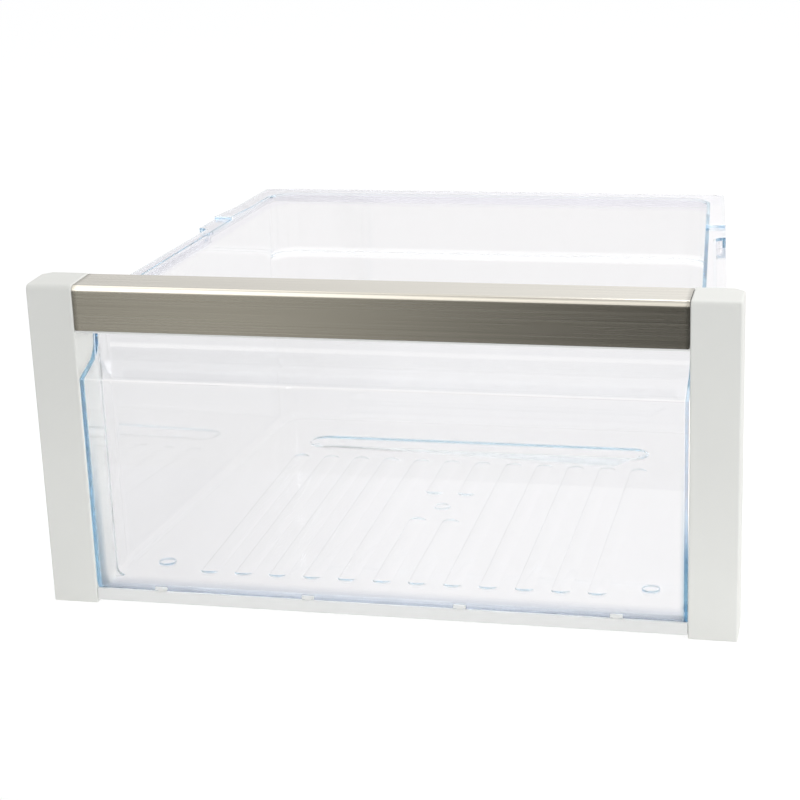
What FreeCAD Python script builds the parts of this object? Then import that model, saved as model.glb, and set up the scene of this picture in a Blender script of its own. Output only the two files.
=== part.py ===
import FreeCAD, Part
import math
import os

Vector = FreeCAD.Vector

# Driving sizes, in millimetres. Heights are above the surface that the drawer stands on,
# and depths are behind the front faces of the end caps.
front_width = 455.0
overall_height = 220.0
overall_depth = 400.0
fit_gap = 0.3
bond_gap = 0.1

# Clear tub: one injection moulding.
tub_wall = 2.5
floor_height = 5.0
rim_drop = 24.5
mouth_side_margin = 28.0
mouth_taper = 26.0
side_draft = 2.5
rear_corner_radius = 22.0
floor_edge_radius = 8.0
flare_length = 26.7
flare_radius = 40.0
rear_step_drop = 47.5
rear_step_depth = 4.0

# Front panel of the tub, which stands forward between the caps, and the finger recess over it.
panel_setback = 1.0
panel_drop = 62.5
toe_radius = 12.0
crease_radius = 2.0
recess_slope = 18.0
recess_depth = 30.0
recess_radius = 14.0

# Rim, its lower runner at the front, and the stop on each side.
rim_width_front = 17.5
rim_width_rear = 13.0
rim_band = 10.0
rim_skirt = 2.2
rim_corner_radius = 6.0
runner_width = 7.0
runner_end_radius = 5.5
runner_stop_gap = 29.0
stop_back_margin = 65.0
stop_length = 46.0
stop_height = 2.2
stop_edge_radius = 1.0

# Floor: low flutes, two round bosses, the gate ring and the rest trough at the back.
flute_count = 12
flute_width = 13.0
flute_height = 0.9
flute_side_margin = 40.5
flute_front_margin = 41.5
flute_trough_gap = 20.0
gate_forward = 11.0
gate_clearance = 25.0
gate_ring_radius = 6.0
gate_ring_width = 1.5
gate_ring_height = 0.5
boss_radius = 6.0
boss_height = 1.0
boss_side_margin = 29.2
boss_front_margin = 56.0
trough_width = 26.0
trough_flat = 8.0
trough_back_lean = 1.0
trough_side_margin = 38.5
trough_back_margin = 81.0

# End caps, which clip to the tub's front flange.
cap_width = 31.0
cap_depth = 33.0
cap_wall = 2.5
cap_top_radius = 4.0
cap_edge_radius = 1.2
cap_back_chamfer = 6.0
clip_end_margin = 48.0
clip_width = 12.0
clip_thickness = 2.5
clip_offset = 11.5
clip_barb = 1.2
clip_barb_length = 4.0

# Handle: a folded steel cover on a white carrier. The bend radii are those inside the sheet.
bar_height = 30.0
bar_inset = 0.4
trim_sheet = 0.8
trim_bend_radius = 3.2
trim_back_radius = 0.7
trim_return = 5.0
trim_corner_radius = 1.0
core_wall = 2.5
core_lip = 1.2
tenon_size = 14.0
tenon_length = 6.0
tenon_drop = 15.0
hook_wall = 2.0
hook_reach = 8.0
hook_end_margin = 12.0

# Bottom rail, which snaps to the lower edge of the panel.
rail_setback = 0.2
rail_lift = 2.5
rail_cover = 6.0
rail_wall = 1.6
rail_base_depth = 20.0
rail_edge_radius = 0.8
snap_count = 4
snap_end_margin = 44.7
snap_width = 8.0
snap_height = 2.2
snap_neck_width = 4.0
snap_neck_height = 0.5
snap_web = 0.5

# Places that follow from the driving sizes.
half_front = front_width / 2
rim_height = overall_height - rim_drop
cap_inner = half_front - cap_width
front_wall = cap_depth + fit_gap
front_wall_inside = front_wall + tub_wall
mouth_back = overall_depth - rim_width_rear
mouth_front_half = half_front - mouth_side_margin
mouth_rear_half = mouth_front_half - mouth_taper
flare_end = front_wall + flare_length
rear_step_height = rim_height - rear_step_drop
floor_top = floor_height + tub_wall
mid_floor = floor_height + tub_wall / 2
panel_half = cap_inner - fit_gap
panel_top = overall_height - panel_drop
panel_inside = panel_setback + tub_wall
recess_inside = recess_depth + tub_wall
flange_half = half_front - cap_back_chamfer - fit_gap
runner_lip = rim_height - rim_band + tub_wall
stop_end = overall_depth - stop_back_margin
stop_start = stop_end - stop_length
runner_end = stop_start - runner_stop_gap
trough_depth = overall_depth - trough_back_margin
trough_half = mouth_rear_half - trough_side_margin
trough_run = trough_width - trough_flat - trough_back_lean
flute_pitch = 2 * (mouth_rear_half - flute_side_margin) / (flute_count - 1)
flute_start = panel_inside + flute_front_margin
flute_end = trough_depth - trough_width / 2 - flute_trough_gap
gate_depth = overall_depth / 2 - gate_forward
boss_offset = panel_half - boss_side_margin
boss_depth = panel_inside + boss_front_margin
bar_bottom = overall_height - bar_height
bar_top = overall_height - bar_inset
core_front = bar_inset + trim_sheet + bond_gap
core_top = bar_top - trim_sheet - bond_gap
core_back = cap_depth - trim_sheet - bond_gap
hook_bottom = rim_height + fit_gap
clip_inner = cap_inner + clip_offset
clip_heights = (clip_end_margin, rim_height - clip_end_margin)
tenon_middle = (core_front + core_back) / 2
tenon_height = overall_height - tenon_drop
rail_front = rail_setback
rail_seat = floor_height - fit_gap
rail_top = floor_height + rail_cover
snap_bottom = rail_top + snap_neck_height
snap_pitch = 2 * (panel_half - snap_end_margin) / (snap_count - 1)
snap_seat = panel_inside - snap_web
cut_over = 4 * tub_wall
level_tolerance = 1e-6


def on_plan(height):
    return lambda u, v: Vector(u, v, height)


def on_side(across):
    return lambda u, v: Vector(across, u, v)


def on_front(depth):
    return lambda u, v: Vector(u, depth, v)


def rounded_wire(corners, radii, place):
    """A closed outline through the corners, each rounded to its own radius."""
    points = [Vector(u, v, 0) for u, v in corners]
    runs = []
    for index, here in enumerate(points):
        to_last = (points[index - 1] - here).normalize()
        to_next = (points[(index + 1) % len(points)] - here).normalize()
        half_angle = to_last.getAngle(to_next) / 2
        radius = radii[index]
        tangent = radius / math.tan(half_angle)
        bisector = (to_last + to_next).normalize()
        middle = here + bisector * (radius / math.sin(half_angle) - radius)
        runs.append((here + to_last * tangent, middle, here + to_next * tangent, radius))
    edges = []
    for index, (start, middle, end, radius) in enumerate(runs):
        if radius > 0:
            arc = Part.Arc(place(start.x, start.y), place(middle.x, middle.y), place(end.x, end.y))
            edges.append(arc.toShape())
        following = runs[(index + 1) % len(runs)][0]
        edges.append(Part.makeLine(place(end.x, end.y), place(following.x, following.y)))
    return Part.Wire(edges)


def prism(corners, radii, place, along):
    return Part.Face(rounded_wire(corners, radii, place)).extrude(along)


def box(x_range, y_range, z_range):
    size = [high - low for low, high in (x_range, y_range, z_range)]
    return Part.makeBox(*size, Vector(x_range[0], y_range[0], z_range[0]))


def mirrored(shape):
    return shape.mirror(Vector(0, 0, 0), Vector(1, 0, 0))


def edges_at_height(shape, height):
    flat = []
    for edge in shape.Edges:
        if all(abs(vertex.Z - height) < level_tolerance for vertex in edge.Vertexes):
            flat.append(edge)
    return flat


def edges_across(shape, depth, height):
    across = []
    for edge in edges_at_height(shape, height):
        if all(abs(vertex.Y - depth) < level_tolerance for vertex in edge.Vertexes):
            across.append(edge)
    return across


def lean_at(height):
    """How far a side or back wall has leant in from the rim at a height."""
    return side_draft * (rim_height - height) / (rim_height - floor_height)


def mouth_half(depth):
    along = (depth - front_wall_inside) / (mouth_back - front_wall_inside)
    return mouth_front_half - mouth_taper * along


def rim_half(depth):
    along = (depth - front_wall_inside) / (mouth_back - front_wall_inside)
    return mouth_half(depth) + rim_width_front + (rim_width_rear - rim_width_front) * along


def tub_plan(height, inset, back_inset):
    """The tub's plan at one height: straight between the caps, flared, then narrowing to the back."""
    grow = tub_wall - inset - lean_at(height)
    back = mouth_back + grow - back_inset
    right_side = [(panel_half - inset, 0), (panel_half - inset, front_wall),
                  (mouth_half(flare_end) + grow, flare_end), (mouth_half(back) + grow, back)]
    corners = right_side + [(-across, depth) for across, depth in reversed(right_side)]
    back_corner = rear_corner_radius - inset
    right_radii = [0, flare_radius, flare_radius, back_corner]
    return rounded_wire(corners, right_radii + right_radii[::-1], on_plan(height))


def tub_form(inset, top):
    """The tub's outer form, or its inside at an inset of one wall: a loft met by the side profile."""
    bottom = floor_height + inset
    step = rear_step_height - tub_wall + inset
    lower_plans = [tub_plan(bottom, inset, rear_step_depth), tub_plan(step, inset, rear_step_depth)]
    lower = Part.makeLoft(lower_plans, True, True)
    around = [edge for edge in edges_at_height(lower, bottom) if edge.CenterOfMass.y > level_tolerance]
    lower = lower.makeFillet(floor_edge_radius - inset, around)
    upper = Part.makeLoft([tub_plan(step, inset, 0), tub_plan(top, inset, 0)], True, True)
    front = panel_setback + inset
    wall = recess_depth + inset
    rise = math.tan(math.radians(recess_slope))
    slope_offset = inset / math.cos(math.radians(recess_slope))
    crease = panel_top + inset * rise - slope_offset
    foot = panel_top + (wall - panel_setback) * rise - slope_offset
    profile = [(overall_depth, bottom), (front, bottom), (front, crease), (wall, foot), (wall, top),
               (overall_depth, top)]
    radii = [0, toe_radius - inset, crease_radius, recess_radius + inset, 0, 0]
    side_form = prism(profile, radii, on_side(-half_front), Vector(front_width, 0, 0))
    return lower.fuse(upper).common(side_form)


def rim_outline(inset):
    front_half = rim_half(front_wall) - inset
    back_half = rim_half(overall_depth) - inset
    back = overall_depth - inset
    return [(-front_half, front_wall), (front_half, front_wall), (back_half, back), (-back_half, back)]


def make_rim():
    """The flanged rim: a top plate with a skirt, lowered to a runner along the front of each side."""
    bottom = rim_height - rim_band
    corner = [0, 0, rim_corner_radius, rim_corner_radius]
    outer = prism(rim_outline(0), corner, on_plan(bottom), Vector(0, 0, rim_band))
    inner_corner = [0, 0, rim_corner_radius - rim_skirt, rim_corner_radius - rim_skirt]
    depth = rim_band - tub_wall
    hollow = prism(rim_outline(rim_skirt), inner_corner, on_plan(bottom), Vector(0, 0, depth))
    rim = outer.cut(hollow)
    for side in (1, -1):
        def runner_outline(grow):
            end = runner_end + grow
            front_line = side * (rim_half(front_wall) - runner_width - grow)
            end_line = side * (rim_half(end) - runner_width - grow)
            outside = side * half_front
            return [(front_line, front_wall), (end_line, end), (outside, end), (outside, front_wall)]

        grown_radii = [0, runner_end_radius + rim_skirt, 0, 0]
        block = prism(runner_outline(rim_skirt), grown_radii, on_plan(bottom), Vector(0, 0, rim_band))
        end_radii = [0, runner_end_radius, 0, 0]
        rebate = prism(runner_outline(0), end_radii, on_plan(runner_lip), Vector(0, 0, rim_band))
        rim = rim.fuse(block.common(outer)).cut(rebate)
    return rim


def make_stops():
    """A ramp across the rim with a steep front face, which stops the drawer as it is pulled out."""
    root = rim_height - tub_wall
    profile = [(stop_start, root), (stop_start, rim_height + stop_height), (stop_end, rim_height),
               (stop_end, root)]
    ramp = prism(profile, [0, stop_edge_radius, 0, 0], on_side(-half_front), Vector(front_width, 0, 0))
    height = Vector(0, 0, tub_wall + stop_height)
    return ramp.common(prism(rim_outline(0), [0, 0, 0, 0], on_plan(root), height))


def slot_wire(start, end, half):
    """A slot outline with half-round ends about two points of one height."""
    along = (end - start).normalize()
    side = Vector(-along.y, along.x, 0) * half
    reach = along * half
    return Part.Wire([
        Part.makeLine(start - side, end - side),
        Part.Arc(end - side, end + reach, end + side).toShape(),
        Part.makeLine(end + side, start + side),
        Part.Arc(start + side, start - reach, start - side).toShape(),
    ])


def make_flutes():
    """Low flutes of arched section along the floor, each with half-round ends."""
    arch_radius = (flute_width ** 2 / 4 + flute_height ** 2) / (2 * flute_height)
    arch_centre = floor_top + flute_height - arch_radius
    half = flute_width / 2 + flute_height
    flutes = []
    for index in range(flute_count):
        across = (index - (flute_count - 1) / 2) * flute_pitch
        spans = [(flute_start, flute_end)]
        if abs(across) < flute_pitch:
            spans = [(flute_start, gate_depth - gate_clearance), (gate_depth + gate_clearance, flute_end)]
        for start, end in spans:
            axis_foot = Vector(across, start, arch_centre)
            arch = Part.makeCylinder(arch_radius, end - start, axis_foot, Vector(0, 1, 0))
            first = Vector(across, start + half, mid_floor)
            last = Vector(across, end - half, mid_floor)
            slot = Part.Face(slot_wire(first, last, half)).extrude(Vector(0, 0, tub_wall))
            flutes.append(arch.common(slot))
    return flutes


def make_bosses():
    """Low round bosses at the front corners of the floor."""
    bosses = []
    for across in (-boss_offset, boss_offset):
        foot = Vector(across, boss_depth, mid_floor)
        bosses.append(Part.makeCylinder(boss_radius, floor_top + boss_height - mid_floor, foot))
    return bosses


def make_trough():
    """The pressed-down bar that the back of the tub rests on: its outside and its hollow."""
    straight = trough_half - trough_width / 2
    front_slope = math.atan2(floor_height, trough_run)
    front_drop = tub_wall / math.cos(front_slope)

    def section(height, drop, thicken):
        down = (floor_top - height - drop) / floor_height
        front = trough_depth - trough_width / 2 + trough_run * down
        lean = trough_back_lean * (floor_top - height) / floor_height
        back = trough_depth + trough_width / 2 + thicken - lean
        middle = (front + back) / 2
        left = Vector(-straight, middle, height)
        return slot_wire(left, Vector(straight, middle, height), (back - front) / 2)

    outer_wires = [section(0, front_drop, tub_wall), section(mid_floor, front_drop, tub_wall)]
    inner_wires = [section(tub_wall, 0, 0), section(floor_top + tub_wall, 0, 0)]
    return Part.makeLoft(outer_wires, True, True), Part.makeLoft(inner_wires, True, True)


def clip_slots():
    """The slots in the tub's front flange that the caps' clips pass through."""
    slots = []
    for height in clip_heights:
        across = (clip_inner - fit_gap, clip_inner + clip_thickness + fit_gap)
        upright = (height - clip_width / 2 - fit_gap, height + clip_width / 2 + fit_gap)
        slot = box(across, (front_wall - cut_over, front_wall_inside + cut_over), upright)
        slots += [slot, mirrored(slot)]
    return slots


def snap_places():
    return [(index - (snap_count - 1) / 2) * snap_pitch for index in range(snap_count)]


def snap_pockets():
    """Shallow pockets in the panel's lower edge for the bottom rail's snap heads."""
    pockets = []
    for middle in snap_places():
        across = (middle - snap_width / 2 - fit_gap, middle + snap_width / 2 + fit_gap)
        upright = (snap_bottom - fit_gap, snap_bottom + snap_height + fit_gap)
        pockets.append(box(across, (rail_front - cut_over, snap_seat), upright))
    return pockets


def make_tub():
    outer = tub_form(0, rim_height)
    inside = tub_form(tub_wall, rim_height + stop_height + cut_over)
    outline = [(-flange_half, floor_height), (flange_half, floor_height),
               (flange_half, rim_height), (-flange_half, rim_height)]
    corner = [floor_edge_radius, floor_edge_radius, 0, 0]
    flange = prism(outline, corner, on_front(front_wall), Vector(0, tub_wall, 0))
    tub = outer.fuse([flange, make_rim(), make_stops()]).cut(inside)
    trough, trough_hollow = make_trough()
    gate_foot = Vector(0, gate_depth, mid_floor)
    gate = Part.makeCylinder(gate_ring_radius, tub_wall / 2 + gate_ring_height, gate_foot)
    gate_eye = Vector(0, gate_depth, floor_top)
    gate_core = Part.makeCylinder(gate_ring_radius - gate_ring_width, cut_over, gate_eye)
    raised = make_flutes() + make_bosses()
    hollows = [shape.translated(Vector(0, 0, -tub_wall)) for shape in raised]
    tub = tub.fuse([trough, gate] + raised)
    cuts = [trough_hollow, gate_core] + hollows + clip_slots() + snap_pockets()
    return tub.cut(cuts).removeSplitter()


def make_right_cap():
    """A hollow moulding, open at the back up to the rim, with clips that reach through the flange."""
    chamfer = cap_back_chamfer
    plan = [(cap_inner, 0), (half_front, 0), (half_front, cap_depth - chamfer),
            (half_front - chamfer, cap_depth), (cap_inner, cap_depth)]
    body = prism(plan, [0] * len(plan), on_plan(0), Vector(0, 0, overall_height))
    body = body.makeFillet(cap_top_radius, edges_across(body, 0, overall_height))
    seams = edges_across(body, 0, overall_height - cap_top_radius)
    seams += edges_across(body, cap_top_radius, overall_height)
    sharp = [edge for edge in body.Edges if not any(edge.isSame(seam) for seam in seams)]
    body = body.makeFillet(cap_edge_radius, sharp)
    inside = half_front - cap_wall
    bevel_start = cap_depth - chamfer - cap_wall * (math.sqrt(2) - 1)
    back_edge = inside - (cap_depth - bevel_start)

    def hollow(depth, bottom, top):
        far = inside - (depth - bevel_start)
        outline = [(cap_inner + cap_wall, cap_wall), (inside, cap_wall), (inside, bevel_start),
                   (far, depth), (cap_inner + cap_wall, depth)]
        return prism(outline, [0] * len(outline), on_plan(bottom), Vector(0, 0, top - bottom))

    open_top = rim_height - cap_wall
    cap = body.cut(hollow(cap_depth - cap_wall, cap_wall, overall_height - cap_wall))
    window = box((cap_inner + cap_wall, back_edge), (cap_depth / 2, cap_depth), (cap_wall, open_top))
    cap = cap.cut(window)
    half_tenon = tenon_size / 2 + fit_gap
    socket = box((cap_inner, cap_inner + cap_wall),
                 (tenon_middle - half_tenon, tenon_middle + half_tenon),
                 (tenon_height - half_tenon, tenon_height + half_tenon))
    cap = cap.cut(socket)
    catch = front_wall_inside + fit_gap
    tip = catch + clip_barb_length
    outer = clip_inner + clip_thickness
    clips = []
    for height in clip_heights:
        foot = height - clip_width / 2
        plan = [(clip_inner, cap_wall), (outer, cap_wall), (outer, catch), (outer + clip_barb, catch),
                (outer, tip), (clip_inner, tip)]
        clips.append(prism(plan, [0] * len(plan), on_plan(foot), Vector(0, 0, clip_width)))
    return cap.fuse(clips).removeSplitter()


def make_handle_trim():
    """The steel cover: one strip folded over the front, the top and the back edge of the carrier."""
    front_inside = bar_inset + trim_sheet
    back_inside = cap_depth - trim_sheet
    under_top = bar_top - trim_sheet
    hem = bar_top - trim_return
    profile = [(bar_inset, bar_bottom), (bar_inset, bar_top), (cap_depth, bar_top), (cap_depth, hem),
               (back_inside, hem), (back_inside, under_top), (front_inside, under_top),
               (front_inside, bar_bottom)]
    radii = [0, trim_bend_radius + trim_sheet, trim_back_radius + trim_sheet, 0, 0, trim_back_radius,
             trim_bend_radius, 0]
    strip = prism(profile, radii, on_side(-panel_half), Vector(2 * panel_half, 0, 0))
    outline = [(-panel_half, bar_bottom), (panel_half, bar_bottom), (panel_half, bar_top),
               (-panel_half, bar_top)]
    corner = [trim_corner_radius, trim_corner_radius, 0, 0]
    return strip.common(prism(outline, corner, on_front(0), Vector(0, cap_depth, 0)))


def make_handle_core():
    """The white carrier: a channel open below for the fingers, hooked over the tub's front wall."""
    bend = trim_bend_radius - bond_gap
    back_bend = trim_back_radius - bond_gap
    lip_top = bar_bottom - bond_gap
    lip_bottom = lip_top - core_lip
    roof = core_top - core_wall
    front_inside = core_front + core_wall
    back_inside = core_back - core_wall
    profile = [(bar_inset, lip_bottom), (bar_inset, lip_top), (core_front, lip_top),
               (core_front, core_top), (core_back, core_top), (core_back, hook_bottom),
               (back_inside, hook_bottom), (back_inside, roof), (front_inside, roof),
               (front_inside, lip_bottom)]
    radii = [0, 0, 0, bend, back_bend, 0, 0, 0, 0, 0]
    channel = prism(profile, radii, on_side(-panel_half), Vector(2 * panel_half, 0, 0))
    hook_half = panel_half - hook_end_margin
    lip_front = recess_inside + fit_gap
    lip_back = lip_front + hook_wall
    hook_top = hook_bottom + hook_wall
    across = (-hook_half, hook_half)
    hook = box(across, (back_inside, lip_back), (hook_bottom, hook_top))
    lip = box(across, (lip_front, lip_back), (rim_height - hook_reach, hook_top))
    ends = []
    for side in (1, -1):
        end_back = recess_depth - fit_gap
        end_profile = [(core_front, bar_bottom), (core_front, core_top), (core_back, core_top),
                       (core_back, hook_bottom), (end_back, hook_bottom), (end_back, bar_bottom)]
        start = panel_half if side < 0 else -panel_half
        end_radii = [0, bend, back_bend, 0, 0, 0]
        plate = prism(end_profile, end_radii, on_side(start), Vector(side * core_wall, 0, 0))
        half = tenon_size / 2
        reach = sorted((start, start - side * tenon_length))
        tenon = box(reach, (tenon_middle - half, tenon_middle + half),
                    (tenon_height - half, tenon_height + half))
        ends += [plate, tenon]
    return channel.fuse([hook, lip] + ends).removeSplitter()


def make_bottom_rail():
    """The white strip under the panel: an angle with snap heads that seat in the panel's pockets."""
    wall_back = rail_front + rail_wall
    base_back = rail_front + rail_base_depth
    base_bottom = rail_seat - rail_wall
    profile = [(rail_front, rail_lift), (wall_back, rail_lift), (wall_back, base_bottom),
               (base_back, base_bottom), (base_back, rail_seat), (wall_back, rail_seat),
               (wall_back, rail_top), (rail_front, rail_top)]
    radii = [rail_edge_radius, 0, 0, 0, 0, 0, 0, rail_edge_radius]
    rail = prism(profile, radii, on_side(-panel_half), Vector(2 * panel_half, 0, 0))
    neck_front = rail_front + rail_wall / 2
    snap_top = snap_bottom + snap_height
    snaps = []
    for middle in snap_places():
        neck = box((middle - snap_neck_width / 2, middle + snap_neck_width / 2),
                   (neck_front, wall_back), (rail_top - rail_wall, snap_top))
        head = box((middle - snap_width / 2, middle + snap_width / 2),
                   (neck_front, snap_seat - fit_gap), (snap_bottom, snap_top))
        snaps += [neck, head]
    return rail.fuse(snaps).removeSplitter()


right_cap = make_right_cap()
pieces = {
    "tub": make_tub(),
    "end_cap_left": mirrored(right_cap),
    "end_cap_right": right_cap,
    "handle_core": make_handle_core(),
    "handle_trim": make_handle_trim(),
    "bottom_rail": make_bottom_rail(),
}

os.makedirs("parts", exist_ok=True)
for node, shape in pieces.items():
    shape.translate(Vector(0, -overall_depth / 2, 0))
    shape.exportStep("parts/" + node + ".step")
    size = shape.BoundBox
    print(node, "solids", len(shape.Solids), "valid", shape.isValid(), "volume", round(shape.Volume),
          "x", round(size.XMin, 2), round(size.XMax, 2), "y", round(size.YMin, 2), round(size.YMax, 2),
          "z", round(size.ZMin, 2), round(size.ZMax, 2))
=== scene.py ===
import math

import bmesh
import bpy
from mathutils import Matrix, Vector


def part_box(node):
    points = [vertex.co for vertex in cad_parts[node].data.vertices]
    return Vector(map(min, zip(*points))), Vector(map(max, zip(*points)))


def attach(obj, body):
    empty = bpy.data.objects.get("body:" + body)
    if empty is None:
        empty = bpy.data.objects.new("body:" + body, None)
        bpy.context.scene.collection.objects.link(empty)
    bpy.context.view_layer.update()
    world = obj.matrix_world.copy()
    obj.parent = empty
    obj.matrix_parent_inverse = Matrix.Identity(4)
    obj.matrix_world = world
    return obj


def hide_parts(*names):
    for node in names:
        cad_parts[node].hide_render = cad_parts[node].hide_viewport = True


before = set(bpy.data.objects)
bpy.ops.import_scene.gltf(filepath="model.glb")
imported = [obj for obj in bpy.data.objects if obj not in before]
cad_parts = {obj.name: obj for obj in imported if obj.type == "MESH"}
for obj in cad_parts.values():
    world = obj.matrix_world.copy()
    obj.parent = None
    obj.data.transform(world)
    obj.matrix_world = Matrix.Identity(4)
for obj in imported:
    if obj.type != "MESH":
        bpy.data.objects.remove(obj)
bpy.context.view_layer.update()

scene = bpy.context.scene

# The tub is one clear polystyrene moulding with polished walls. Its edges come out of the tool slightly
# rounded, and more so at the step in its back wall. The plastic leads light along its walls; the faint blue
# of its edges and the pale lilac of its rim are painted tints, and a painted glow stands for the glint on
# its step, stops and right front edge.
tub_low, tub_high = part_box("tub")
panel_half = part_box("bottom_rail")[1].x
stop_proud = 0.00215
rim_top = tub_high.z - stop_proud
merge_distance = 1e-6
flat_angle = math.radians(0.2)
tub_edge_round = 0.0004
tub_edge_angle = math.radians(32)
tub_edge_segments = 3
step_round = 0.0016
step_back = tub_high.y - 0.07
step_low = rim_top - 0.051
step_high = rim_top - 0.047
step_fade = 0.003
ledge_front = tub_high.y - 0.03
stop_face = tub_high.y - 0.111
stop_fade = 0.0015
stop_foot = rim_top + 0.0001
stop_foot_fade = 0.0005
rim_bottom = rim_top - 0.0115
rim_plate = rim_top - 0.0075
toe_top = tub_low.z + 0.022
toe_bottom = tub_low.z + 0.014
toe_back = tub_low.y + 0.017
toe_front = tub_low.y + 0.009
corner_inner = panel_half - 0.0062
corner_outer = panel_half - 0.0007
corner_top = tub_low.z + 0.14
corner_bottom = tub_low.z + 0.03
edge_inner = panel_half - 0.0032
edge_outer = panel_half - 0.0014
edge_low = tub_low.z + 0.046
edge_high = tub_low.z + 0.086
clear_tint = (0.992, 0.992, 1.0, 1.0)
rim_painted_lilac = (0.95, 0.945, 0.975, 1.0)
toe_painted_blue = (0.74, 0.77, 0.83, 1.0)
corner_painted_blue = (0.58, 0.68, 0.76, 1.0)
wall_blue = (0.2, 0.58, 0.75, 1.0)
wall_density = 5.5
clear_ior = 1.58
clear_share = 0.985
flow_scale = 14.0
flow_detail = 1.0
polish_best = 0.01
polish_worst = 0.05
edge_frost = 0.12
no_painted_glow = (0.0, 0.0, 0.0, 1.0)
step_painted_glow = (1.0, 1.0, 1.0, 1.0)
stop_painted_glow = (4.0, 4.0, 4.0, 1.0)
edge_painted_glow = (7.0, 6.0, 5.3, 1.0)
painted_glow_strength = 0.06


def merged_copy(node, name):
    """A piece with the shape of a CAD node, its loose triangles joined and its flat faces whole."""
    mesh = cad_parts[node].data.copy()
    mesh.name = name
    shape = bmesh.new()
    shape.from_mesh(mesh)
    bmesh.ops.remove_doubles(shape, verts=shape.verts, dist=merge_distance)
    bmesh.ops.dissolve_limit(shape, angle_limit=flat_angle, verts=shape.verts, edges=shape.edges)
    shape.to_mesh(mesh)
    shape.free()
    mesh.materials.clear()
    piece = bpy.data.objects.new(name, mesh)
    scene.collection.objects.link(piece)
    return piece


def round_edges(piece, width, segments, angle, crease, in_crease):
    """Rounds the piece's sharp edges, more widely where it is creased, and shades it smooth."""
    shape = bmesh.new()
    shape.from_mesh(piece.data)
    weight = shape.edges.layers.float.new("bevel_weight_edge")
    for face in shape.faces:
        face.smooth = True
    for edge in shape.edges:
        if edge.calc_face_angle(0) > angle:
            edge[weight] = 1.0 if all(in_crease(vert.co) for vert in edge.verts) else width / crease
    shape.to_mesh(piece.data)
    shape.free()
    bevel = piece.modifiers.new("edge_round", "BEVEL")
    bevel.width = crease
    bevel.segments = segments
    bevel.limit_method = "WEIGHT"
    bevel.use_clamp_overlap = True
    bevel.miter_outer = "MITER_ARC"
    even = piece.modifiers.new("even_normals", "WEIGHTED_NORMAL")
    even.keep_sharp = True
    depsgraph = bpy.context.evaluated_depsgraph_get()
    finished = bpy.data.meshes.new_from_object(piece.evaluated_get(depsgraph))
    piece.modifiers.clear()
    piece.data = finished


def principled(name):
    """A material with one Principled shader, with its tree and that shader."""
    material = bpy.data.materials.new(name)
    material.use_nodes = True
    return material, material.node_tree, material.node_tree.nodes["Principled BSDF"]


def give(tree, socket, given):
    """Sets a socket to a plain value, or links it to an output."""
    if isinstance(given, bpy.types.NodeSocket):
        tree.links.new(given, socket)
    else:
        socket.default_value = given


def sum_of(tree, operation, first, second=0.0):
    """The result of one sum on two values."""
    node = tree.nodes.new("ShaderNodeMath")
    node.operation = operation
    give(tree, node.inputs[0], first)
    give(tree, node.inputs[1], second)
    return node.outputs[0]


def all_of(tree, mask, *others):
    """A mask where all the given masks hold."""
    for other in others:
        mask = sum_of(tree, "MULTIPLY", mask, other)
    return mask


def ease(tree, value, start, end, to_start=0.0, to_end=1.0, kind="SMOOTHSTEP"):
    """A level that goes from one to another while the value goes from start to end."""
    step = tree.nodes.new("ShaderNodeMapRange")
    step.interpolation_type = kind
    tree.links.new(value, step.inputs["Value"])
    for name, given in (("From Min", start), ("From Max", end), ("To Min", to_start), ("To Max", to_end)):
        give(tree, step.inputs[name], given)
    return step.outputs["Result"]


def blend(tree, factor, first, second, kind="RGBA"):
    """A mix of two colours, or with kind FLOAT of two values."""
    mix = tree.nodes.new("ShaderNodeMix")
    mix.data_type = kind
    # The node has sockets of its own for each kind: these are the two that are mixed, and the result.
    first_socket, second_socket, result_socket = {"RGBA": (6, 7, 2), "FLOAT": (2, 3, 0)}[kind]
    give(tree, mix.inputs[0], factor)
    give(tree, mix.inputs[first_socket], first)
    give(tree, mix.inputs[second_socket], second)
    return mix.outputs[result_socket]


def noise(tree, vector, scale, detail):
    """A noise over the given coordinates, as one value."""
    texture = tree.nodes.new("ShaderNodeTexNoise")
    texture.inputs["Scale"].default_value = scale
    texture.inputs["Detail"].default_value = detail
    tree.links.new(vector, texture.inputs["Vector"])
    return texture.outputs["Fac"]


def object_place(tree):
    """The object coordinates, whole and as their three parts."""
    place = tree.nodes.new("ShaderNodeTexCoord").outputs["Object"]
    parts = tree.nodes.new("ShaderNodeSeparateXYZ")
    tree.links.new(place, parts.inputs[0])
    return place, parts.outputs["X"], parts.outputs["Y"], parts.outputs["Z"]


clear, tree, shader = principled("clear_polystyrene")
shader.inputs["IOR"].default_value = clear_ior
shader.inputs["Transmission Weight"].default_value = clear_share
place, place_x, place_y, place_z = object_place(tree)
# Painted tint: the base colour is painted blue at the toe and the panel's lower corners, and lilac at the
# rim, where light led along the walls shows its colour.
at_front = ease(tree, place_y, toe_back, toe_front)
at_toe = all_of(tree, ease(tree, place_z, toe_top, toe_bottom), at_front)
at_end = ease(tree, sum_of(tree, "ABSOLUTE", place_x), corner_inner, corner_outer)
at_corner = all_of(tree, at_end, ease(tree, place_z, corner_top, corner_bottom), at_front)
tint = blend(tree, ease(tree, place_z, rim_bottom, rim_plate), clear_tint, rim_painted_lilac)
tint = blend(tree, at_toe, tint, toe_painted_blue)
tint = blend(tree, at_corner, tint, corner_painted_blue)
tree.links.new(tint, shader.inputs["Base Color"])
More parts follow.
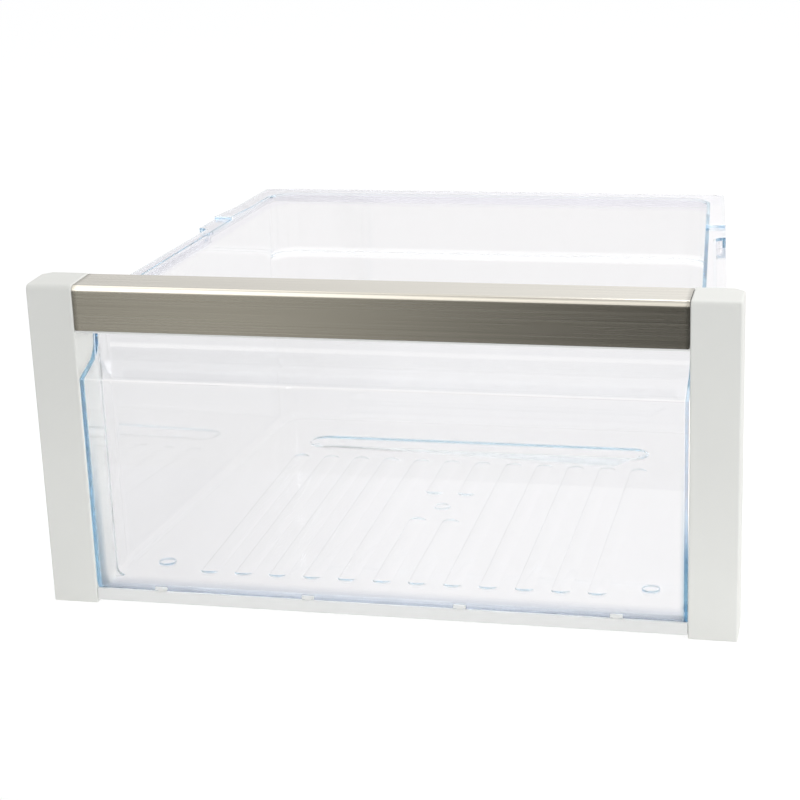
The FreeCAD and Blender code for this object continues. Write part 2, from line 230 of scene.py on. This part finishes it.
# The step and the stops' front faces are less polished than the walls.
over_step = ease(tree, place_z, step_low - step_fade, step_low)
under_step = ease(tree, place_z, step_high + step_fade, step_high)
at_back = ease(tree, place_y, ledge_front - step_fade, ledge_front)
at_step = all_of(tree, over_step, under_step, at_back)
on_stop = ease(tree, place_z, stop_foot - stop_foot_fade, stop_foot)
before_stop = ease(tree, place_y, stop_face - stop_fade, stop_face)
behind_stop = ease(tree, place_y, stop_face + 2 * stop_fade, stop_face + stop_fade)
at_stop = all_of(tree, before_stop, behind_stop, on_stop)
flow = noise(tree, place, flow_scale, flow_detail)
polish = ease(tree, flow, 0.0, 1.0, polish_best, polish_worst, "LINEAR")
frosted = sum_of(tree, "MAXIMUM", at_step, at_stop)
tree.links.new(blend(tree, frosted, polish, edge_frost, "FLOAT"), shader.inputs["Roughness"])
# Painted glow: a weak emission stands for the glint where light from inside the walls leaves, at the step
# and the stops' front faces, and above the foot of the panel's right edge. It is too weak to light other
# pieces.
painted_glow = blend(tree, at_stop, blend(tree, at_step, no_painted_glow, step_painted_glow), stop_painted_glow)
at_right = ease(tree, place_x, edge_inner, edge_outer)
at_edge = all_of(tree, at_right, ease(tree, place_z, edge_low, edge_high), at_front)
tree.links.new(blend(tree, at_edge, painted_glow, edge_painted_glow), shader.inputs["Emission Color"])
shader.inputs["Emission Strength"].default_value = painted_glow_strength
clear.cycles.emission_sampling = "NONE"
absorb = tree.nodes.new("ShaderNodeVolumeAbsorption")
absorb.inputs["Color"].default_value = wall_blue
absorb.inputs["Density"].default_value = wall_density
tree.links.new(absorb.outputs["Volume"], tree.nodes["Material Output"].inputs["Volume"])

tub = merged_copy("tub", "clear_tub")
round_edges(tub, tub_edge_round, tub_edge_segments, tub_edge_angle, step_round,
            lambda spot: spot.y > step_back and step_low < spot.z < step_high)
tub.data.materials.append(clear)
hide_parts("tub")
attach(tub, "root")

# The end caps are hollow mouldings in light warm grey plastic with a fine satin texture. They clip to
# the tub's front flange and hold the ends of the handle bar.
cap_colour = (0.79, 0.79, 0.755)
cap_roughness = 0.38
cap_spread = 0.14
cap_relief = 0.35
grain_scale = 1400.0
grain_detail = 1.0
grain_depth = 0.0001
cloud_scale = 16.0
cloud_detail = 3.0
cloud_darker = 0.97
cloud_lighter = 1.03
grain = bpy.data.node_groups.new("moulded_grain", "ShaderNodeTree")
for socket in ("Roughness", "Spread"):
    grain.interface.new_socket(socket, in_out="INPUT", socket_type="NodeSocketFloat")
for socket in ("Tone", "Roughness", "Height"):
    grain.interface.new_socket(socket, in_out="OUTPUT", socket_type="NodeSocketFloat")
grain_given = grain.nodes.new("NodeGroupInput")
grain_result = grain.nodes.new("NodeGroupOutput")
place = object_place(grain)[0]
grain.links.new(noise(grain, place, grain_scale, grain_detail), grain_result.inputs["Height"])
cloud = noise(grain, place, cloud_scale, cloud_detail)
tone = ease(grain, cloud, 0.0, 1.0, cloud_darker, cloud_lighter, "LINEAR")
grain.links.new(tone, grain_result.inputs["Tone"])
uneven = sum_of(grain, "MULTIPLY", cloud, grain_given.outputs["Spread"])
uneven = sum_of(grain, "ADD", uneven, grain_given.outputs["Roughness"])
grain.links.new(uneven, grain_result.inputs["Roughness"])


def scaled(tree, colour, factor):
    """A colour times a value."""
    node = tree.nodes.new("ShaderNodeVectorMath")
    node.operation = "SCALE"
    give(tree, node.inputs[0], colour)
    give(tree, node.inputs["Scale"], factor)
    return node.outputs["Vector"]


def relief(tree, shader, height, strength, depth):
    """Raises a height on the shader's surface."""
    bump = tree.nodes.new("ShaderNodeBump")
    bump.inputs["Strength"].default_value = strength
    bump.inputs["Distance"].default_value = depth
    tree.links.new(height, bump.inputs["Height"])
    tree.links.new(bump.outputs["Normal"], shader.inputs["Normal"])


def moulded(name, colour, roughness, spread, strength):
    """A moulded plastic of one colour with the fine grain of the tool."""
    material, tree, shader = principled(name)
    surface = tree.nodes.new("ShaderNodeGroup")
    surface.node_tree = grain
    surface.inputs["Roughness"].default_value = roughness
    surface.inputs["Spread"].default_value = spread
    tree.links.new(scaled(tree, colour, surface.outputs["Tone"]), shader.inputs["Base Color"])
    tree.links.new(surface.outputs["Roughness"], shader.inputs["Roughness"])
    relief(tree, shader, surface.outputs["Height"], strength, grain_depth)
    return material


cap_plastic = moulded("cap_plastic", cap_colour, cap_roughness, cap_spread, cap_relief)
for node in ("end_cap_left", "end_cap_right"):
    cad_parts[node].data.materials[0] = cap_plastic

# The carrier under the steel is a white moulded channel, open below for the fingers. The bottom rail is
# moulded in the same white plastic and snaps to the panel's lower edge.
white_colour = (0.81, 0.81, 0.795)
white_roughness = 0.34
white_spread = 0.12
white_relief = 0.2
white_plastic = moulded("white_plastic", white_colour, white_roughness, white_spread, white_relief)
for node in ("handle_core", "bottom_rail"):
    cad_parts[node].data.materials[0] = white_plastic

# The handle's cover is one strip of stainless sheet, brushed along its length and folded over the carrier.
# Its colour is painted darker at its two cut ends, a painted shade where they meet the end caps.
brush_stretch = (3.0, 2200.0, 2200.0)
brush_scale = 1.0
brush_detail = 4.0
steel_dark = (0.52, 0.50, 0.455, 1.0)
steel_light = (0.68, 0.66, 0.61, 1.0)
steel_dark_below = 0.3
steel_light_above = 0.7
painted_shade_start = panel_half - 0.0037
painted_shade_end = panel_half
painted_shade_level = 0.62
steel_smooth = 0.18
steel_rough = 0.32
groove_strength = 0.15
groove_depth = 0.00005
brushed, tree, shader = principled("brushed_stainless")
shader.inputs["Metallic"].default_value = 1.0
place, place_x = object_place(tree)[:2]
stretch = tree.nodes.new("ShaderNodeMapping")
stretch.inputs["Scale"].default_value = brush_stretch
tree.links.new(place, stretch.inputs["Vector"])
scratches = noise(tree, stretch.outputs["Vector"], brush_scale, brush_detail)
shade_level = ease(tree, scratches, steel_dark_below, steel_light_above, kind="LINEAR")
shade = blend(tree, shade_level, steel_dark, steel_light)
# Painted shade: the base colour darkens towards both cut ends.
from_middle = sum_of(tree, "ABSOLUTE", place_x)
painted_end_shade = ease(tree, from_middle, painted_shade_start, painted_shade_end, 1.0, painted_shade_level)
tree.links.new(scaled(tree, shade, painted_end_shade), shader.inputs["Base Color"])
satin = ease(tree, scratches, 0.0, 1.0, steel_smooth, steel_rough, "LINEAR")
tree.links.new(satin, shader.inputs["Roughness"])
relief(tree, shader, scratches, groove_strength, groove_depth)
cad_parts["handle_trim"].data.materials[0] = brushed

# The floor is a plain white sheet that keeps a soft shadow under the drawer. It is seen as white, and
# through the clear plastic with a painted shade that makes it a little dimmer, most of all at the left. The
# light that it sends through the plastic is raised, because clear walls hold back the lamps' direct light.
floor_reach = 3.0
floor_front = -0.46
floor_white = 0.86
floor_shadow = 0.22
floor_colour = (0.8, 0.8, 0.8, 1.0)
floor_bounce = 0.25
floor_near = 0.925
floor_left = 0.47
floor_right = 0.965
floor_lighting = 3.8
floor_tint = (0.995, 0.981, 0.978, 1.0)
plain_white = (1.0, 1.0, 1.0, 1.0)
across_floor = (1.0, 0.244, 0.0)
dim_range = (-0.20, -0.03)
walls_range = (2.0, 9.0)
any_depth = 0.5
floor_mesh = bpy.data.meshes.new("floor")
floor_corners = [(-floor_reach, floor_front, 0), (floor_reach, floor_front, 0),
                 (floor_reach, floor_reach, 0), (-floor_reach, floor_reach, 0)]
floor_mesh.from_pydata(floor_corners, [], [(0, 1, 2, 3)])
floor = bpy.data.objects.new("floor", floor_mesh)
scene.collection.objects.link(floor)
floor_paint = bpy.data.materials.new("floor_sheet")
floor_paint.use_nodes = True
tree = floor_paint.node_tree
tree.nodes.clear()
rays = tree.nodes.new("ShaderNodeLightPath").outputs


def diffuse(tree, colour):
    """A matt shader of one colour."""
    node = tree.nodes.new("ShaderNodeBsdfDiffuse")
    give(tree, node.inputs["Color"], colour)
    return node.outputs[0]


def glowing(tree, colour, strength):
    """A shader that gives light of one colour."""
    node = tree.nodes.new("ShaderNodeEmission")
    give(tree, node.inputs["Color"], colour)
    give(tree, node.inputs["Strength"], strength)
    return node.outputs[0]


def added(tree, first, second):
    """Two shaders on top of each other."""
    node = tree.nodes.new("ShaderNodeAddShader")
    tree.links.new(first, node.inputs[0])
    tree.links.new(second, node.inputs[1])
    return node.outputs[0]


sideways = tree.nodes.new("ShaderNodeVectorMath")
sideways.operation = "DOT_PRODUCT"
give(tree, sideways.inputs[0], object_place(tree)[0])
give(tree, sideways.inputs[1], across_floor)
# Painted shade: seen through the plastic, the floor glows dimmer towards the left.
far_level = ease(tree, sideways.outputs["Value"], *dim_range, floor_left, floor_right, "LINEAR")
many_walls = ease(tree, rays["Transmission Depth"], *walls_range, kind="LINEAR")
through_level = blend(tree, many_walls, floor_near, far_level, "FLOAT")
is_lighting = sum_of(tree, "GREATER_THAN", rays["Diffuse Depth"], any_depth)
through_level = blend(tree, is_lighting, through_level, floor_lighting, "FLOAT")
glow_level = blend(tree, rays["Is Camera Ray"], through_level, floor_white, "FLOAT")
glow_colour = blend(tree, rays["Is Camera Ray"], floor_tint, plain_white)
shadow_level = sum_of(tree, "MULTIPLY", rays["Is Camera Ray"], floor_shadow)
seen = added(tree, diffuse(tree, shadow_level), glowing(tree, glow_colour, glow_level))
unseen = added(tree, diffuse(tree, floor_colour), glowing(tree, plain_white, floor_bounce))
is_seen = sum_of(tree, "MAXIMUM", rays["Is Glossy Ray"], rays["Is Transmission Ray"])
is_seen = sum_of(tree, "MAXIMUM", rays["Is Camera Ray"], is_seen)
either = tree.nodes.new("ShaderNodeMixShader")
tree.links.new(is_seen, either.inputs[0])
tree.links.new(unseen, either.inputs[1])
tree.links.new(seen, either.inputs[2])
tree.links.new(either.outputs[0], tree.nodes.new("ShaderNodeOutputMaterial").inputs["Surface"])
floor_mesh.materials.append(floor_paint)

# The studio is a white tent with its opening in front, so the camera and the clear plastic see white. The
# steel's front reflects the dim opening, its bend a soft box above that, and its top the white back wall.
opening_levels = ((0.19, 0.25), (0.275, 0.33), (0.35, 0.90), (0.446, 0.34), (0.525, 0.18), (0.615, 0.07),
                  (0.75, 0.04))
opening_warmth = (1.0, 0.97, 0.86)
opening_range = (-0.6, 0.2)
across_range = (-0.5, 0.0)
box_range = (-0.33, -0.2)
box_rise = (0.04, 0.28)
overhead_rise = (0.88, 0.985)
back_range = (0.3, 0.75)
box_left = (2.6, 2.54, 2.42, 1.0)
box_right = (1.25, 1.215, 1.145, 1.0)
overhead_left = (0.30, 0.29, 0.27, 1.0)
overhead_right = (0.9, 0.89, 0.87, 1.0)
back_left = (0.80, 0.79, 0.775, 1.0)
back_right = (1.2, 1.19, 1.17, 1.0)
inside_white = (0.97, 0.97, 0.97, 1.0)
fill_colour = (0.60, 0.61, 0.62, 1.0)
near_left = (0.88, 0.875, 0.875, 1.0)
near_right = (0.97, 0.96, 0.955, 1.0)
far_left = (0.70, 0.66, 0.635, 1.0)
far_right = (0.96, 0.90, 0.86, 1.0)
tent_lighting = (4.2, 4.2, 4.2, 1.0)
world = bpy.data.worlds.new("studio")
scene.world = world
world.use_nodes = True
world.cycles.sampling_method = "NONE"
tree = world.node_tree
tree.nodes.clear()
rays = tree.nodes.new("ShaderNodeLightPath").outputs
direction = tree.nodes.new("ShaderNodeSeparateXYZ")
tree.links.new(tree.nodes.new("ShaderNodeTexCoord").outputs["Generated"], direction.inputs[0])
toward_x, toward_y, toward_z = direction.outputs
opening = tree.nodes.new("ShaderNodeValToRGB")
ramp = opening.color_ramp
ramp.interpolation = "CARDINAL"
ramp.elements[0].position = opening_levels[0][0]
ramp.elements[1].position = opening_levels[-1][0]
for position, _ in opening_levels[1:-1]:
    ramp.elements.new(position)
for element, (_, level) in zip(ramp.elements, opening_levels):
    element.color = (*(level * part for part in opening_warmth), 1.0)
tree.links.new(ease(tree, toward_x, *opening_range, kind="LINEAR"), opening.inputs["Fac"])
across = ease(tree, toward_x, *across_range)
soft_box = blend(tree, ease(tree, toward_x, *box_range), box_left, box_right)
front = blend(tree, ease(tree, toward_z, *box_rise), opening.outputs["Color"], soft_box)
overhead = blend(tree, across, overhead_left, overhead_right)
upper = blend(tree, ease(tree, toward_z, *overhead_rise), front, overhead)
back = blend(tree, across, back_left, back_right)
around = blend(tree, ease(tree, toward_y, *back_range), upper, back)
is_inside = sum_of(tree, "GREATER_THAN", rays["Transmission Depth"], any_depth)
reflected = blend(tree, is_inside, around, inside_white)
unseen = blend(tree, rays["Is Glossy Ray"], fill_colour, reflected)
many_walls = ease(tree, rays["Transmission Depth"], *walls_range, kind="LINEAR")
near_wall = blend(tree, across, near_left, near_right)
far_wall = blend(tree, across, far_left, far_right)
is_lighting = sum_of(tree, "GREATER_THAN", rays["Diffuse Depth"], any_depth)
passed = blend(tree, is_lighting, blend(tree, many_walls, near_wall, far_wall), tent_lighting)
unseen = blend(tree, rays["Is Transmission Ray"], unseen, passed)
tent = tree.nodes.new("ShaderNodeBackground")
tree.links.new(blend(tree, rays["Is Camera Ray"], unseen, plain_white), tent.inputs["Color"])
tree.links.new(tent.outputs[0], tree.nodes.new("ShaderNodeOutputWorld").inputs["Surface"])

# Two soft boxes light the drawer: a long one above and behind, and a large one at the front right. Light is
# followed through many walls, because the clear plastic turns it back many times before it leaves.
light_bounces = 96


def soft_lamp(name, spot, aim, size, power):
    """A rectangular lamp that looks from its spot to its aim, and isn't seen through the plastic."""
    lamp = bpy.data.lights.new(name, "AREA")
    lamp.shape = "RECTANGLE"
    lamp.size, lamp.size_y = size
    lamp.energy = power
    holder = bpy.data.objects.new(name, lamp)
    holder.location = spot
    holder.rotation_euler = (Vector(aim) - Vector(spot)).to_track_quat("-Z", "Y").to_euler()
    holder.visible_transmission = False
    scene.collection.objects.link(holder)


soft_lamp("top_box", spot=(0.45, 0.55, 1.35), aim=(0.0, 0.0, 0.1), size=(1.0, 0.5), power=8.0)
soft_lamp("side_box", spot=(2.5, -2.0, 0.9), aim=(0.0, -0.15, 0.1), size=(1.6, 1.6), power=32.0)
scene.cycles.max_bounces = light_bounces
scene.cycles.transmission_bounces = light_bounces
scene.cycles.glossy_bounces = light_bounces

# The camera stands at the photograph's place, a little right of the middle and above, and looks down at the
# drawer's front with a long lens. It turns left, dips and rolls by the angles given here, in radians.
camera_place = Vector((0.30561, -1.38794, 0.55004))
camera_turn = 0.2385
camera_dip = 0.3152
camera_roll = -0.0381
sensor_width = 36.0
lens_length = 92.69
ahead = Vector((-math.sin(camera_turn) * math.cos(camera_dip),
                math.cos(camera_turn) * math.cos(camera_dip), -math.sin(camera_dip)))
level_right = Vector((math.cos(camera_turn), math.sin(camera_turn), 0))
level_up = level_right.cross(ahead)
right = level_right * math.cos(camera_roll) + level_up * math.sin(camera_roll)
up = level_up * math.cos(camera_roll) - level_right * math.sin(camera_roll)
view = bpy.data.cameras.new("camera")
view.sensor_width = sensor_width
view.lens = lens_length
camera = bpy.data.objects.new("camera", view)
turn = Matrix((right, up, -ahead)).transposed().to_4x4()
camera.matrix_world = Matrix.Translation(camera_place) @ turn
scene.collection.objects.link(camera)
scene.camera = camera
scene.view_settings.view_transform = "Standard"
